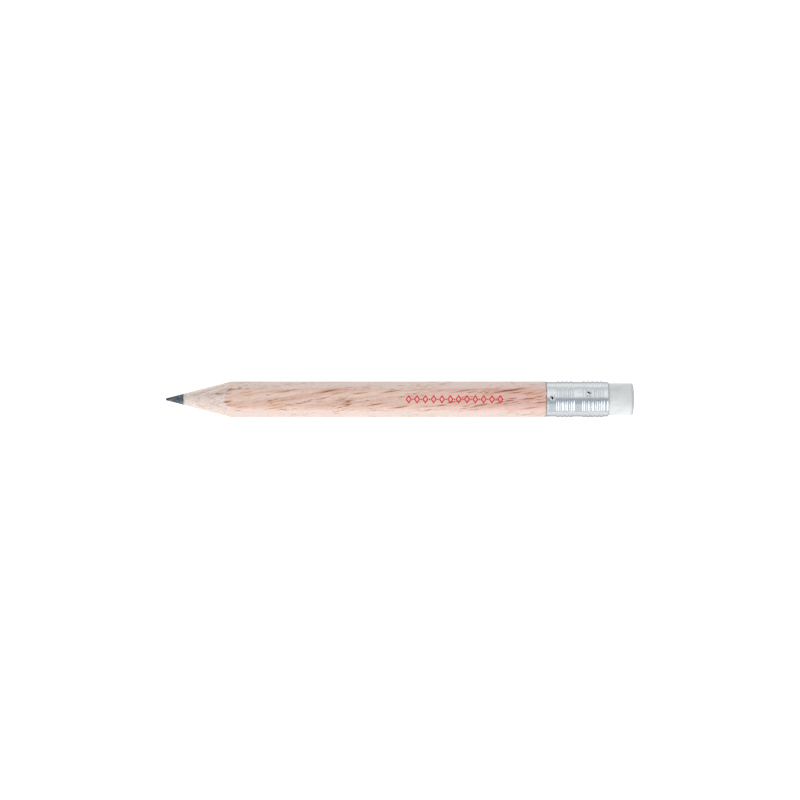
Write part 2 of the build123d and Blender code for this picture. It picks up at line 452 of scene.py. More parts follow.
@dataclass(frozen=True)
class Beech(Finish):
    """Steamed beech, planed and lacquered on the barrel, and cut bare by the sharpener.

    Beech is a pale pink brown with soft bands, fine straight fibres, and rays: thin upright plates
    that show as short dark lenses on the flats, each in a warm halo. The blank was sawn a little
    across the grain, so fibres and rays climb slowly towards +Y. Clear lacquer gives the barrel a
    soft gloss and a pink tone, and the bare cone is greyer, paler and dull. The mark of a point is
    its distance past the lacquer's edge, in millimetres.

    Rays are 1 to 3 mm long and 0.2 mm thick. Real fibres are 0.02 mm wide and pores 0.06 mm, and
    here they are 0.07 mm and up to 0.1 mm, so that they show.
    """

    layout: Layout
    surface: Surface
    pale: str = "#efd4c6"
    band: str = "#e2bdac"
    rosy: str = "#e9bdb5"
    warm: str = "#edcba6"
    # Paler, less pink colour of the side facets: a painted sheen, the white surroundings reflected at a
    # grazing angle.
    aside: str = "#e2d3ca"
    halo: str = "#dba07a"
    fleck: str = "#8c583d"
    bare: str = "#f2e5dc"
    bare_band: str = "#e2cfc4"
    bare_fleck: str = "#9c7f70"
    frayed: str = "#e9e1d8"
    # Painted shadow colour for the line on the barrel just before the ferrule's mouth.
    mouth_shadow: str = "#5d4a46"
    grain_turn: float = radians(8.5)
    cone_turn: float = radians(15.0)

    def paint(self, tree: Tree, shader: bpy.types.Node) -> None:
        """Adds the wood's colours, flecks and relief, and the lacquer where the barrel has it."""
        centre = (0.0, 0.0, self.layout.axis)
        plain = self.millimetres(tree, centre)
        apart = add_node(tree, "SeparateXYZ", {0: plain}).node.outputs
        along, height = apart[0], apart[2]
        top = add_node(tree, "MapRange", {0: height, 1: 2.0, 2: 3.2}, **EASED)
        places = self._wavering(tree, self.millimetres(tree, centre, self.grain_turn), 0.9)
        steep = self._wavering(tree, self.millimetres(tree, centre, self.cone_turn), 0.5)
        lacquer = self._lacquer_share(tree, places)
        core, halo = self._flecks(tree, places, top)
        cuts = grains(tree, steep, (0.8, 0.12, 0.12), detail=1.0, shift=2.2)
        nicks = add_node(tree, "MapRange", {0: cuts, 1: 0.60, 2: 0.68, 4: 0.6}, **EASED)
        barrel = self._barrel_colour(tree, places, along, top, halo, core)
        cone = self._cone_colour(tree, steep, along, nicks, core)
        shade = add_node(tree, "Mix", {0: lacquer, 6: cone, 7: barrel}, 2, **COLOURS)
        fibres = grains(tree, places, (2.4, 0.07, 0.07), shift=7.3)
        soft = add_node(tree, "MapRange", {0: fibres, 1: 0.44, 2: 0.66, 4: 0.35}, **EASED)
        vessels = grains(tree, places, (0.9, 0.04, 0.04), shift=17.0)
        pores = add_node(tree, "MapRange", {0: vessels, 1: 0.58, 2: 0.68}, **EASED)
        lines = add_node(tree, "Math", {0: soft, 1: pores}, operation="MAXIMUM")
        inputs = {0: lines, 6: shade, 7: linear(self.band)}
        shade = add_node(tree, "Mix", inputs, 2, blend_type="MULTIPLY", **COLOURS)
        shallow = add_node(tree, "Math", {0: nicks, 1: 0.7}, operation="MULTIPLY")
        dents = add_node(tree, "Math", {0: core, 1: shallow}, operation="MAXIMUM")
        # The base colour gets a painted shadow line just before the ferrule's mouth.
        feed(tree, shader, {
            "Base Color": layered(tree, shade, (self._mouth_shadow_share(tree, places, along), self.mouth_shadow)),
            "IOR": 1.5,
            "Roughness": 0.80,
            "Normal": self._relief(tree, plain, fibres, dents, lacquer),
        })
        if self.surface is Surface.OUTSIDE:
            feed(tree, shader, {
                "Roughness": add_node(tree, "MapRange", {0: lacquer, 3: 0.80, 4: 0.45}),
                "Coat Weight": add_node(tree, "Math", {0: lacquer, 1: 0.5}, operation="MULTIPLY"),
                "Coat Roughness": 0.25,
                "Coat IOR": 1.5,
            })

    def _wavering(self, tree: Tree, places: Socket, reach: float) -> Socket:
        """Bends straight grain: a slow noise moves it across, by up to about a fifth of reach."""
        inputs = {0: places, 1: (1 / 7.0, 1 / 2.0, 1 / 2.0)}
        slow = add_node(tree, "VectorMath", inputs, operation="MULTIPLY")
        drift = add_node(tree, "TexNoise", {"Vector": slow, "Scale": 1.0, "Detail": 3.0}, 1)
        inputs = {0: drift, 1: (0.0, reach, reach), 2: places}
        bent = add_node(tree, "VectorMath", inputs, operation="MULTIPLY_ADD")
        inputs = {0: bent, 1: (0.0, reach / 2, reach / 2)}
        return add_node(tree, "VectorMath", inputs, operation="SUBTRACT")

    def _lacquer_share(self, tree: Tree, places: Socket) -> Socket | float:
        """1 where lacquer is left: past the cone's edge, which noise frays by a few tenths."""
        if self.surface is Surface.INSIDE:
            return 0.0
        mark = add_node(tree, "Attribute", {}, "Fac", attribute_name="mark")
        fray = grains(tree, places, (0.8, 0.25, 0.25), detail=3.0, shift=5.0)
        past = add_node(tree, "Math", {0: mark, 1: fray}, operation="ADD")
        return add_node(tree, "MapRange", {0: past, 1: 0.38, 2: 0.60}, **EASED)

    def _flecks(self, tree: Tree, places: Socket, top: Socket) -> tuple[Socket, Socket]:
        """All flecks: the dark core of each, and the warm halo around it.

        Small ones are the peaks of a noise that is higher in slow clusters, and they are fainter on
        the sides, where the rays lie flat. The large ones are listed.

        Args:
            tree: Node tree that gets the nodes.
            places: Coordinates along the grain.
            top: 1 on the top flat and 0 on the sides.

        Returns:
            The share of the core, and the share of the halo.
        """
        thin = grains(tree, places, (2.4, 0.19, 0.45), detail=2.0, shift=3.1)
        clusters = grains(tree, places, (9.0, 1.6, 3.0), detail=0.0, shift=11.0)
        crowd = add_node(tree, "MapRange", {0: clusters, 3: -0.20, 4: 0.20})
        rays = add_node(tree, "Math", {0: crowd, 1: thin}, operation="ADD")
        seen = add_node(tree, "MapRange", {0: top, 3: 0.45, 4: 1.0})
        large = self._large_flecks(tree, places)
        shares = []
        for small_step, large_step in (
            ({1: 0.665, 2: 0.715, 4: 0.8}, {1: 0.45, 2: 0.95}),
            ({1: 0.57, 2: 0.68, 4: 0.7}, {1: 0.0, 2: 0.45, 4: 0.8}),
        ):
            peaks = add_node(tree, "MapRange", {0: rays, **small_step}, **EASED)
            small = add_node(tree, "Math", {0: peaks, 1: seen}, operation="MULTIPLY")
            listed = add_node(tree, "MapRange", {0: large, **large_step}, **EASED)
            shares.append(add_node(tree, "Math", {0: small, 1: listed}, operation="MAXIMUM"))
        return shares[0], shares[1]

    def _large_flecks(self, tree: Tree, places: Socket) -> Socket:
        """The listed flecks: lenses that fade from their middle lines, and below the top flat."""
        turn = np.array([
            [cos(self.grain_turn), sin(self.grain_turn)],
            [-sin(self.grain_turn), cos(self.grain_turn)],
        ])
        total: Any = 0.0
        for each in LARGE_FLECKS:
            x, y = turn @ (each.x, each.y)
            inputs = {0: places, 1: (x, y, self.layout.flat / MM)}
            away = add_node(tree, "VectorMath", inputs, operation="SUBTRACT")
            inputs = {0: away, 1: (2 / each.length, 2 / each.width, 0.7)}
            scaled = add_node(tree, "VectorMath", inputs, operation="MULTIPLY")
            far = add_node(tree, "VectorMath", {0: scaled}, "Value", operation="LENGTH")
            lens = add_node(tree, "MapRange", {0: far, 1: 2.2, 2: 0.0, 4: each.depth}, **EASED)
            total = add_node(tree, "Math", {0: total, 1: lens}, operation="MAXIMUM")
        feather = grains(tree, places, (1.0, 0.06, 0.3), detail=2.0, shift=31.0)
        torn = add_node(tree, "MapRange", {0: feather, 3: 0.55, 4: 1.45})
        return add_node(tree, "Math", {0: total, 1: torn}, operation="MULTIPLY")

    def _barrel_colour(
        self, tree: Tree, places: Socket, along: Socket, top: Socket, halo: Socket, core: Socket
    ) -> Socket:
        """Pink bands, warm patches, and rays in their halos. The end at the ferrule is rosier, and the
        sides get a paler, less pink colour that is a painted sheen: the white surroundings reflected at a
        grazing angle."""
        bands = grains(tree, places, (30.0, 0.9, 0.9), detail=3.0)
        patches = grains(tree, places, (5.0, 0.8, 0.8), detail=2.0, shift=20.0)
        return layered(
            tree,
            self.pale,
            (add_node(tree, "MapRange", {0: bands, 1: 0.42, 2: 0.62}, **EASED), self.band),
            (add_node(tree, "MapRange", {0: patches, 1: 0.52, 2: 0.68, 4: 0.45}, **EASED), self.warm),
            (add_node(tree, "MapRange", {0: along, 1: -2.0, 2: 25.0, 4: 0.65}, **EASED), self.rosy),
            # Painted sheen: the side facets are paled as if they reflected the white surroundings at a
            # grazing angle.
            (add_node(tree, "MapRange", {0: top, 3: 0.88, 4: 0.0}), self.aside),
            (halo, self.halo),
            (core, self.fleck),
        )

    def _cone_colour(
        self, tree: Tree, steep: Socket, along: Socket, nicks: Socket, core: Socket
    ) -> Socket:
        """Greyer bare wood with short nicks, and paler frayed wood at its thin front edge."""
        bands = grains(tree, steep, (9.0, 0.5, 0.5), detail=3.0, shift=9.0)
        point = self.layout.point / MM
        thin = {0: along, 1: point + 6.6, 2: point + 4.1, 4: 0.8}
        return layered(
            tree,
            self.bare,
            (add_node(tree, "MapRange", {0: bands, 1: 0.42, 2: 0.64}, **EASED), self.bare_band),
            (add_node(tree, "MapRange", thin, **EASED), self.frayed),
            (nicks, self.bare_fleck),
            (core, self.fleck),
        )

    def _mouth_shadow_share(self, tree: Tree, places: Socket, along: Socket) -> Socket:
        """Patchy dark line of painted shadow on the barrel just before the ferrule's mouth, as shade in
        the gap under the mouth.
        """
        edge = self.layout.shoulder / MM
        patches = grains(tree, places, (1.0, 0.9, 0.9), detail=2.0)
        line = add_node(tree, "MapRange", {0: along, 1: edge - 0.24, 2: edge - 0.08}, **EASED)
        patchy = add_node(tree, "MapRange", {0: patches, 1: 0.38, 2: 0.54, 4: 0.75}, **EASED)
        return add_node(tree, "Math", {0: line, 1: patchy}, operation="MULTIPLY")

    @staticmethod
    def _relief(
        tree: Tree, plain: Socket, fibres: Socket, dents: Socket, lacquer: Socket | float
    ) -> Socket:
        """Blade rings and open fibres on bare wood, and rays that sink in under the lacquer too.

        Each height is the share of one layer of relief, which lies on the layer before it.
        """
        inputs = {"Vector": plain, "Scale": 0.9, "Distortion": 1.2, "Detail": 2.0}
        rings = add_node(tree, "TexWave", inputs, "Fac", wave_type="BANDS", bands_direction="X")
        bare = add_node(tree, "MapRange", {0: lacquer, 3: 1.0, 4: 0.0})
        rings = add_node(tree, "Math", {0: rings, 1: bare}, operation="MULTIPLY")
        most = add_node(tree, "Math", {0: bare, 1: 0.8}, operation="MULTIPLY")
        open_grain = add_node(tree, "Math", {0: most, 1: 0.2}, operation="ADD")
        fibres = add_node(tree, "Math", {0: fibres, 1: open_grain}, operation="MULTIPLY")
        sunk = add_node(tree, "Math", {0: 1.0, 1: dents}, operation="SUBTRACT")
        normal: dict[str, Socket] = {}
        for height, depth, strength in (
            (rings, 0.006 * MM, 0.4),
            (fibres, 0.03 * MM, 0.7),
            (sunk, 0.03 * MM, 0.6),
        ):
            inputs = {"Height": height, "Distance": depth, "Strength": strength, **normal}
            normal = {"Normal": add_node(tree, "Bump", inputs)}
        return normal["Normal"]


@dataclass(frozen=True)
class Graphite(Finish):
    """Fired graphite and clay, sharpened: dark slate grey, with a waxy metallic sheen on its cuts.

    Its pits are a few hundredths of a millimetre, and here they are 0.11 mm, so that they show.
    """

    layout: Layout
    dark: str = "#3f444a"
    worn: str = "#667079"
    # Light bluish colour of painted sheen streaks, standing in for the graphite's reflections.
    painted_light_tone: str = "#8797a5"
    tip: str = "#2c3034"

    def paint(self, tree: Tree, shader: bpy.types.Node) -> None:
        """Adds long cut marks, lighter streaks of painted sheen, small pits, and a dark tip."""
        places = self.millimetres(tree, (0.0, 0.0, self.layout.axis))
        cuts = grains(tree, places, (1.8, 0.09, 0.09), detail=3.0)
        pits = grains(tree, places, (0.11, 0.11, 0.11), detail=4.0)
        streaks = grains(tree, places, (2.6, 0.40, 0.40), detail=1.0, shift=1.7)
        along = add_node(tree, "SeparateXYZ", {0: places})
        point = self.layout.point / MM
        end = {0: along, 1: point + 0.9, 2: point + 0.2, 4: 0.8}
        inputs = {"Height": cuts, "Distance": 0.02 * MM, "Strength": 0.8}
        scored = add_node(tree, "Bump", inputs)
        inputs = {"Height": pits, "Distance": 0.012 * MM, "Strength": 0.5, "Normal": scored}
        feed(tree, shader, {
            "Base Color": layered(
                tree,
                self.dark,
                (add_node(tree, "MapRange", {0: cuts, 1: 0.42, 2: 0.66}, **EASED), self.worn),
                # Lighter bluish streaks: a painted sheen, standing in for the graphite's reflections.
                (add_node(tree, "MapRange", {0: streaks, 1: 0.50, 2: 0.62, 4: 0.6}, **EASED), self.painted_light_tone),
                (add_node(tree, "MapRange", end, **EASED), self.tip),
            ),
            "Metallic": 0.25,
            "Roughness": add_node(tree, "MapRange", {0: pits, 3: 0.25, 4: 0.60}),
            "Normal": add_node(tree, "Bump", inputs),
        })


@dataclass(frozen=True)
class Aluminium(Finish):
    """Drawn aluminium strip, rolled into ribs: bright, with fine lines around the tube, and a few
    faint scuffs.

    The mark of a point is 1 in the slits that the punch tore, where the metal is rougher and its
    near-black colour is painted shade for the dark hollow behind the slit. The drawing lines are about
    0.01 mm apart, and here they are 0.05 mm, so that they show.
    """

    layout: Layout
    bright: str = "#e4e8ea"
    dull: str = "#dadfe2"
    grazing: str = "#9aa2aa"
    # Near-black painted shade for the hollow seen through each torn slit.
    torn: str = "#1d2024"

    def paint(self, tree: Tree, shader: bpy.types.Node) -> None:
        """Adds drawing lines, scuffs, and torn slits with painted shade in them."""
        places = self.millimetres(tree, (0.0, 0.0, self.layout.axis))
        lines = grains(tree, places, (0.05, 3.0, 3.0), detail=3.0)
        scuffs = grains(tree, places, (0.9, 0.6, 0.6), detail=4.0)
        slit = add_node(tree, "Attribute", {}, "Fac", attribute_name="mark")
        scuffed = add_node(tree, "MapRange", {0: scuffs, 1: 0.45, 2: 0.70}, **EASED)
        polished = add_node(tree, "MapRange", {0: scuffs, 3: 0.14, 4: 0.26})
        rough = add_node(tree, "Math", {0: slit, 1: 0.4}, operation="MULTIPLY")
        inputs = {"Height": lines, "Distance": 0.001 * MM, "Strength": 0.3}
        drawn = add_node(tree, "Bump", inputs)
        inputs = {"Height": scuffs, "Distance": 0.003 * MM, "Strength": 0.1, "Normal": drawn}
        feed(tree, shader, {
            # The slits get painted shade, a near-black colour for the hollow behind them.
            "Base Color": layered(tree, self.bright, (scuffed, self.dull), (slit, self.torn)),
            "Metallic": 1.0,
            "Specular Tint": linear(self.grazing),
            "Roughness": add_node(tree, "Math", {0: polished, 1: rough}, operation="ADD"),
            "Normal": add_node(tree, "Bump", inputs),
        })


@dataclass(frozen=True)
class Vinyl(Finish):
    """White eraser vinyl, moulded: matt and slightly soft, with faint mottling and fine pits.

    A grey line of painted shadow lies where it leaves the ferrule, as shade under the ferrule's rim, and
    its rounded rim is painted grey as shade.
    """

    layout: Layout
    clean: str = "#e1e1df"
    soiled: str = "#d8d8d6"
    # Grey painted shadow just past the ferrule's rim.
    ferrule_rim_shadow: str = "#9b9fa3"
    # Grey painted shade on the eraser's rounded rim.
    painted_light_tone: str = "#9fa1a2"

    def paint(self, tree: Tree, shader: bpy.types.Node) -> None:
        """Adds mottling, pits, a grey line of painted shadow at the ferrule and painted shade on the
        rounded rim, and lets a little light through.
        """
        places = self.millimetres(tree, (0.0, 0.0, self.layout.axis))
        mottle = grains(tree, places, (3.0, 2.0, 2.0), detail=4.0)
        pits = grains(tree, places, (0.14, 0.14, 0.14), detail=5.0)
        along = add_node(tree, "SeparateXYZ", {0: places})
        mouth, end = self.layout.ferrule_end / MM, self.layout.end / MM
        steps = (
            {0: mottle, 1: 0.42, 2: 0.66},
            {0: along, 1: mouth + 0.30, 2: mouth + 0.05, 4: 0.6},
            {0: along, 1: end - 0.95, 2: end - 0.35, 4: 0.7},
            {0: along, 1: end, 2: end - 0.35},
        )
        mottled, line, on_rim, off_end = (add_node(tree, "MapRange", step, **EASED) for step in steps)
        rim = add_node(tree, "Math", {0: on_rim, 1: off_end}, operation="MULTIPLY")
        # The grey line at the ferrule and the grey rim are painted shade.
        layers = (mottled, self.soiled), (line, self.ferrule_rim_shadow), (rim, self.painted_light_tone)
        inputs = {"Height": pits, "Distance": 0.012 * MM, "Strength": 0.3}
        feed(tree, shader, {
            "Base Color": layered(tree, self.clean, *layers),
            "Roughness": 0.52,
            "IOR": 1.5,
            "Subsurface Weight": 0.25,
            "Subsurface Radius": (1.0, 0.9, 0.8),
            "Subsurface Scale": 0.6 * MM,
            "Normal": add_node(tree, "Bump", inputs),
        })


@dataclass(frozen=True)
class Ink(Finish):
    """Red screen-printing ink: dense and satin, and thinner where the wood's fibres drank it."""

    layout: Layout
    full: str = "#e0222b"
    thin: str = "#d9474c"

    def paint(self, tree: Tree, shader: bpy.types.Node) -> None:
        """Adds thinner streaks along the fibres."""
        places = self.millimetres(tree, (0.0, 0.0, self.layout.axis))
        streaks = grains(tree, places, (1.2, 0.08, 0.08), detail=3.0, shift=2.0)
        drunk = add_node(tree, "MapRange", {0: streaks, 1: 0.50, 2: 0.75}, **EASED)
        inputs = {"Height": streaks, "Distance": 0.006 * MM, "Strength": 0.4}
        feed(tree, shader, {
            "Base Color": layered(tree, self.full, (drunk, self.thin)),
            "Roughness": 0.42,
            "IOR": 1.48,
            "Normal": add_node(tree, "Bump", inputs),
        })


@dataclass(frozen=True)
class Glue(Finish):
    """Cured white glue: a pale grey line between the slats and around the lead, with a soft gloss."""

    layout: Layout
    clear: str = "#cfc8bf"
    cloudy: str = "#e6e2dc"

    def paint(self, tree: Tree, shader: bpy.types.Node) -> None:
        """Adds cloudy patches."""
        places = self.millimetres(tree, (0.0, 0.0, self.layout.axis))
        patches = grains(tree, places, (0.7, 0.3, 0.3), detail=2.0)
        cloud = add_node(tree, "MapRange", {0: patches, 1: 0.42, 2: 0.60}, **EASED)
        shade = layered(tree, self.clear, (cloud, self.cloudy))
        feed(tree, shader, {"Base Color": shade, "Roughness": 0.4, "IOR": 1.47})


@dataclass(frozen=True)
class LitAcrylic(Finish):
    """Opal acrylic of a light table: most of its even white is light from below, so that shadows
    show only right under a thing."""

    body: str = "#a8a8a8"
    lit: str = "#ffffff"
    glow: float = 0.85

    def paint(self, tree: Tree, shader: bpy.types.Node) -> None:
        """Sets a matt body that gives off light of its own."""
        feed(tree, shader, {
            "Base Color": linear(self.body),
            "Roughness": 0.9,
            "Specular IOR Level": 0.0,
            "Emission Color": linear(self.lit),
            "Emission Strength": self.glow,
        })


# --------------------------------------------------------------------------------------- pencil


@dataclass(frozen=True)
class Dimples:
    """Two rings of dimples that a punch left in the ferrule, each with a slit torn at its bottom.

    A ring is its distance from the ferrule's mouth, its first angle from +Y, and how far its slits
    are turned from lying across the pencil.
    """

    layout: Layout
    per_ring: int = 3
    rings: tuple = (
        (1.2 * MM, radians(85.0), radians(-10.0)),
        (9.0 * MM, radians(67.0), radians(-60.0)),
    )
    radius: float = 0.56 * MM
    depth: float = 0.30 * MM
    lip: float = 0.03 * MM
    slit_length: float = 0.86 * MM
    slit_width: float = 0.30 * MM
    slit_depth: float = 0.12 * MM
    clearance: float = 0.06 * MM

    def centres(self) -> list[tuple[float, float, float]]:
        """X, angle and slit turn of each dimple."""
        step = 2 * pi / self.per_ring
        return [
            (self.layout.shoulder + from_mouth, first - n * step, turn)
            for from_mouth, first, turn in self.rings
            for n in range(self.per_ring)
        ]

    def _apart(self, x: np.ndarray, angle: np.ndarray, centre: tuple) -> tuple:
        """Distances from a dimple's centre along the pencil and around it, across the nearer way."""
        turned_by = (angle - centre[1] + pi) % (2 * pi) - pi
        return x - centre[0], self.layout.tube * turned_by

    def dent(self, x: np.ndarray, angle: np.ndarray) -> np.ndarray:
        """How far the wall is pushed in: a rounded funnel with a low lip raised around it.

        With t the distance from the centre as a share of the radius, the funnel is depth times
        (1 - t)^1.5 inside t = 1, and the lip is a bell curve around t = 1.15.
        """
        total = np.zeros(np.broadcast_shapes(x.shape, angle.shape))
        for centre in self.centres():
            along, around = self._apart(x, angle, centre)
            share = np.hypot(along, around) / self.radius
            funnel = self.depth * np.clip(1 - share, 0, 1) ** 1.5
            lip = self.lip * np.exp(-(((share - 1.15) / 0.28) ** 2))
            total = total + funnel - lip
        return total

    def slit(self, x: np.ndarray, angle: np.ndarray) -> np.ndarray:
        """1 inside a slit and 0 outside: a thin ellipse with an edge one third of its width."""
        total = np.zeros(np.broadcast_shapes(x.shape, angle.shape))
        for centre in self.centres():
            along, around = self._apart(x, angle, centre)
            across = along * cos(centre[2]) + around * sin(centre[2])
            lengthwise = around * cos(centre[2]) - along * sin(centre[2])
            share = np.hypot(across / (self.slit_width / 2), lengthwise / (self.slit_length / 2))
            total = np.maximum(total, 1 - smooth(0.75, 1.25, share))
        return total

    def room(self, x: np.ndarray, angle: np.ndarray) -> np.ndarray:
        """Largest radius that stays clear of the dented wall, inside the ferrule."""
        return self.layout.tube - self.layout.wall - self.clearance - self.dent(x, angle)

    def angles(self, count: int) -> np.ndarray:
        """Angles for a whole turn, crowded at the dimples."""
        spread, crowd = radians(7.5), 4.0

        def density(angle: np.ndarray) -> np.ndarray:
            """1, and more in a bell curve around each dimple."""
            away = [(angle - centre[1] + pi) % (2 * pi) - pi for centre in self.centres()]
            return 1 + crowd * sum(np.exp(-((each / spread) ** 2)) for each in away)

        return crowded(0, 2 * pi, count + 1, density)[:-1]


@dataclass(frozen=True)
class Slats:
    """The two halves of the wooden body, from the sharpened cone to the tenon in the ferrule."""

    layout: Layout
    dimples: Dimples
    corner_radius: float = 1.25 * MM
    glue: float = 0.05 * MM
    tenon: float = 3.4 * MM
    tenon_chamfer: float = 0.3 * MM
    edge: float = 0.06 * MM
    fray: float = 0.065 * MM
    per_flat: int = 17
    per_corner: int = 13
    cone_rows: int = 40
    barrel_rows: int = 110
    tenon_rows: int = 44
    outside: int = 0
    inside: int = 1

    def outline(self) -> tuple[np.ndarray, np.ndarray]:
        """Upper half of the rounded hexagon, from the +Y corner over the top to the -Y corner.

        Each corner is an arc about a point on the corner's own direction, and each flat is the
        straight line between two arcs.

        Returns:
            Distance from the axis, and angle, of each point.
        """
        reach = (self.layout.flat - self.corner_radius) / cos(pi / 6)
        parts = []
        for n in range(4):
            corner = n * pi / 3
            first, last = max(corner - pi / 6, 0), min(corner + pi / 6, pi)
            steps = self.per_corner if 0 < n < 3 else self.per_corner // 2 + 1
            normal = np.linspace(first, last, steps)
            centre = reach * np.exp(1j * corner)
            parts.append(centre + self.corner_radius * np.exp(1j * normal))
        share = np.linspace(0, 1, self.per_flat)[1:-1]
        flats = [a[-1] + (b[0] - a[-1]) * share for a, b in zip(parts[:-1], parts[1:])]
        rows = [row for pair in zip(parts, flats) for row in pair] + [parts[-1]]
        points = np.concatenate(rows)
        return np.abs(points), np.abs(np.angle(points))

    def _cone(self, hexagon: np.ndarray, angle: np.ndarray, turn: int) -> tuple:
        """The sharpened cone: radius grows from the frayed front to the hexagon, and X with it."""
        groove = self.layout.lead + self.glue
        ragged = np.clip(ripple(turn * angle, 5, range(5, 34)), -1, 1.6)
        front = groove + self.fray * (1.25 + ragged)
        share = np.linspace(0, 1, self.cone_rows)[:, None]
        radius = front * (1 - share) + hexagon * share
        return self.layout.cone_reaches(radius), radius

    def _barrel(self, hexagon: np.ndarray) -> tuple:
        """The full hexagon, from the scalloped edge of the cone to a small rounding at its end."""
        first = self.layout.cone_reaches(hexagon)
        share = np.linspace(0, 1, self.barrel_rows)[1:, None]
        x = first * (1 - share) + (self.layout.shoulder - self.edge) * share
        turn = np.linspace(0, pi / 2, 4)[1:, None]
        x_edge = self.layout.shoulder - self.edge * (1 - np.sin(turn)) + 0 * hexagon
        return (
            np.concatenate([x, x_edge]),
            np.concatenate([hexagon + 0 * x, hexagon - self.edge * (1 - np.cos(turn))]),
        )

    def _tenon(self, angle: np.ndarray) -> tuple:
        """The turned tenon, with the dents of the dimples, and a chamfer at its end."""
        layout = self.layout
        x = np.linspace(layout.shoulder, layout.wood_end - self.tenon_chamfer, self.tenon_rows)
        x = x[:, None] + 0 * angle
        radius = np.minimum(self.tenon, self.dimples.room(x, angle))
        chamfered = np.full((1, angle.size), self.tenon - self.tenon_chamfer)
        return (
            np.concatenate([x, np.full((1, angle.size), layout.wood_end)]),
            np.concatenate([radius, chamfered]),
        )

    def _stations(self, hexagon: np.ndarray, angle: np.ndarray, turn: int) -> list[tuple]:
        """X and radius of every point of the cone, of the barrel and of the tenon."""
        return [self._cone(hexagon, angle, turn), self._barrel(hexagon), self._tenon(turn * angle)]

    def seam(self, number: int) -> tuple[np.ndarray, np.ndarray]:
        """Edge of the joint at one end of the outline.

        Args:
            number: 0 for the +Y end of the outline, or -1 for the -Y end.

        Returns:
            X, and distance from the axis, of each station.
        """
        parts = self._stations(*self.outline(), 1)
        x = np.concatenate([part[0][:, number] for part in parts])
        return x, np.concatenate([part[1][:, number] for part in parts])

    def build(self, half: "Half") -> bpy.types.Object:
        """Makes one slat.

        Args:
            half: Which of the two.

        Returns:
            The slat, which stands for its CAD node.
        """
        hexagon, angle = self.outline()
        name, turn = half.value
        shell = Shell()
        groove = self.layout.lead + self.glue
        outer, inner = [], []
        for x, radius in self._stations(hexagon, angle, turn):
            past_edge = (x - self.layout.cone_reaches(hexagon)) / MM
            outer.append(shell.add(self._lifted(x, radius, angle, turn), past_edge))
            inner.append(shell.add(self._lifted(x, groove, angle, turn)))
        cone, barrel, tenon = outer
        shell.skin(np.concatenate([cone, barrel]), self.outside)
        shell.skin(np.concatenate([barrel[-1:], tenon]), self.inside)
        outer_rows, inner_rows = np.concatenate(outer), np.concatenate(inner)
        shell.skin(inner_rows, self.inside)
        for side in (0, -1):
            joint = np.stack([outer_rows[:, side], inner_rows[:, side]], axis=1)
            shell.skin(joint, self.inside)
            cap = np.stack([outer_rows[side], inner_rows[side]], axis=1)
            shell.skin(cap, self.inside)
        finishes = [
            Beech("lacquered beech", self.layout, Surface.OUTSIDE),
            Beech("bare beech", self.layout, Surface.INSIDE),
        ]
        made = shell.piece(name + "_wood", finishes, crease=radians(22))
        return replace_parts(made, name)

    def _lifted(self, x: np.ndarray, radius: Any, angle: np.ndarray, turn: int) -> np.ndarray:
        """Points around the axis, kept half a glue film away from the joint plane."""
        points = self.layout.around(x, radius, angle)
        height = np.maximum(points[..., 2] - self.layout.axis, self.glue / 2)
        points[..., 2] = self.layout.axis + turn * height
        return points


class Half(Enum):
    """The two slats: the name of the CAD node, and 1 for above the joint or -1 for below."""

    UPPER = ("upper_slat", 1)
    LOWER = ("lower_slat", -1)


@dataclass(frozen=True)
class GlueFilm:
    """The cured glue: a sleeve around the lead with a ragged front, and a thin sheet at each side."""

    layout: Layout
    slats: Slats
    ragged: float = 0.30 * MM
    columns: int = 144
    rows: int = 24

    def _sleeve(self, shell: Shell) -> None:
        """A tube: its outside, its back, its inside, and a front that was cut along the cone."""
        layout = self.layout
        angle = np.linspace(0, 2 * pi, self.columns, endpoint=False)
        outer = layout.lead + self.slats.glue
        behind = self.ragged * (0.5 + 0.5 * np.clip(ripple(angle, 21, range(4, 30)), -1, 1))
        share = np.linspace(0, 1, self.rows)[:, None] ** 2

        def along(radius: float) -> np.ndarray:
            """X of each row and column at one radius."""
            front = layout.cone_reaches(radius) + behind
            return front * (1 - share) + layout.wood_end * share

        outside = shell.add(layout.around(along(outer), outer, angle))
        inside = shell.add(layout.around(along(layout.lead)[::-1], layout.lead, angle))
        shell.skin(ringed(np.concatenate([outside, inside, outside[:1]])))

    def _sheet(self, shell: Shell, x: np.ndarray, edge: np.ndarray, side: int) -> None:
        """One thin sheet, from the sleeve to the outside of the wood.

        Args:
            shell: Mesh that gets it.
            x: Places along the pencil.
            edge: How far the wood reaches from the axis at each of them.
            side: 1 towards +Y, or -1 towards -Y.
        """
        half = self.slats.glue / 2
        near = np.full_like(edge, self.layout.lead + self.slats.glue)
        y = side * np.stack([near, edge, edge, near], axis=1)
        z = self.layout.axis + half * np.array([1, 1, -1, -1])
        points = np.stack(np.broadcast_arrays(x[:, None], y, z), axis=-1)
        numbers = ringed(shell.add(points))
        shell.skin(numbers)
        for end in (0, -1):
            shell.skin(numbers[end, [[0, 3], [1, 2]]])

    def build(self) -> bpy.types.Object:
        """Makes the film.

        Returns:
            The film, which stands for its CAD node.
        """
        shell = Shell()
        self._sleeve(shell)
        for side, number in ((1, 0), (-1, -1)):
            x, edge = self.slats.seam(number)
            self._sheet(shell, x, edge, side)
        made = shell.piece("glue_line", [Glue("cured white glue", self.layout)], crease=radians(40))
        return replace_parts(made, "glue_film")


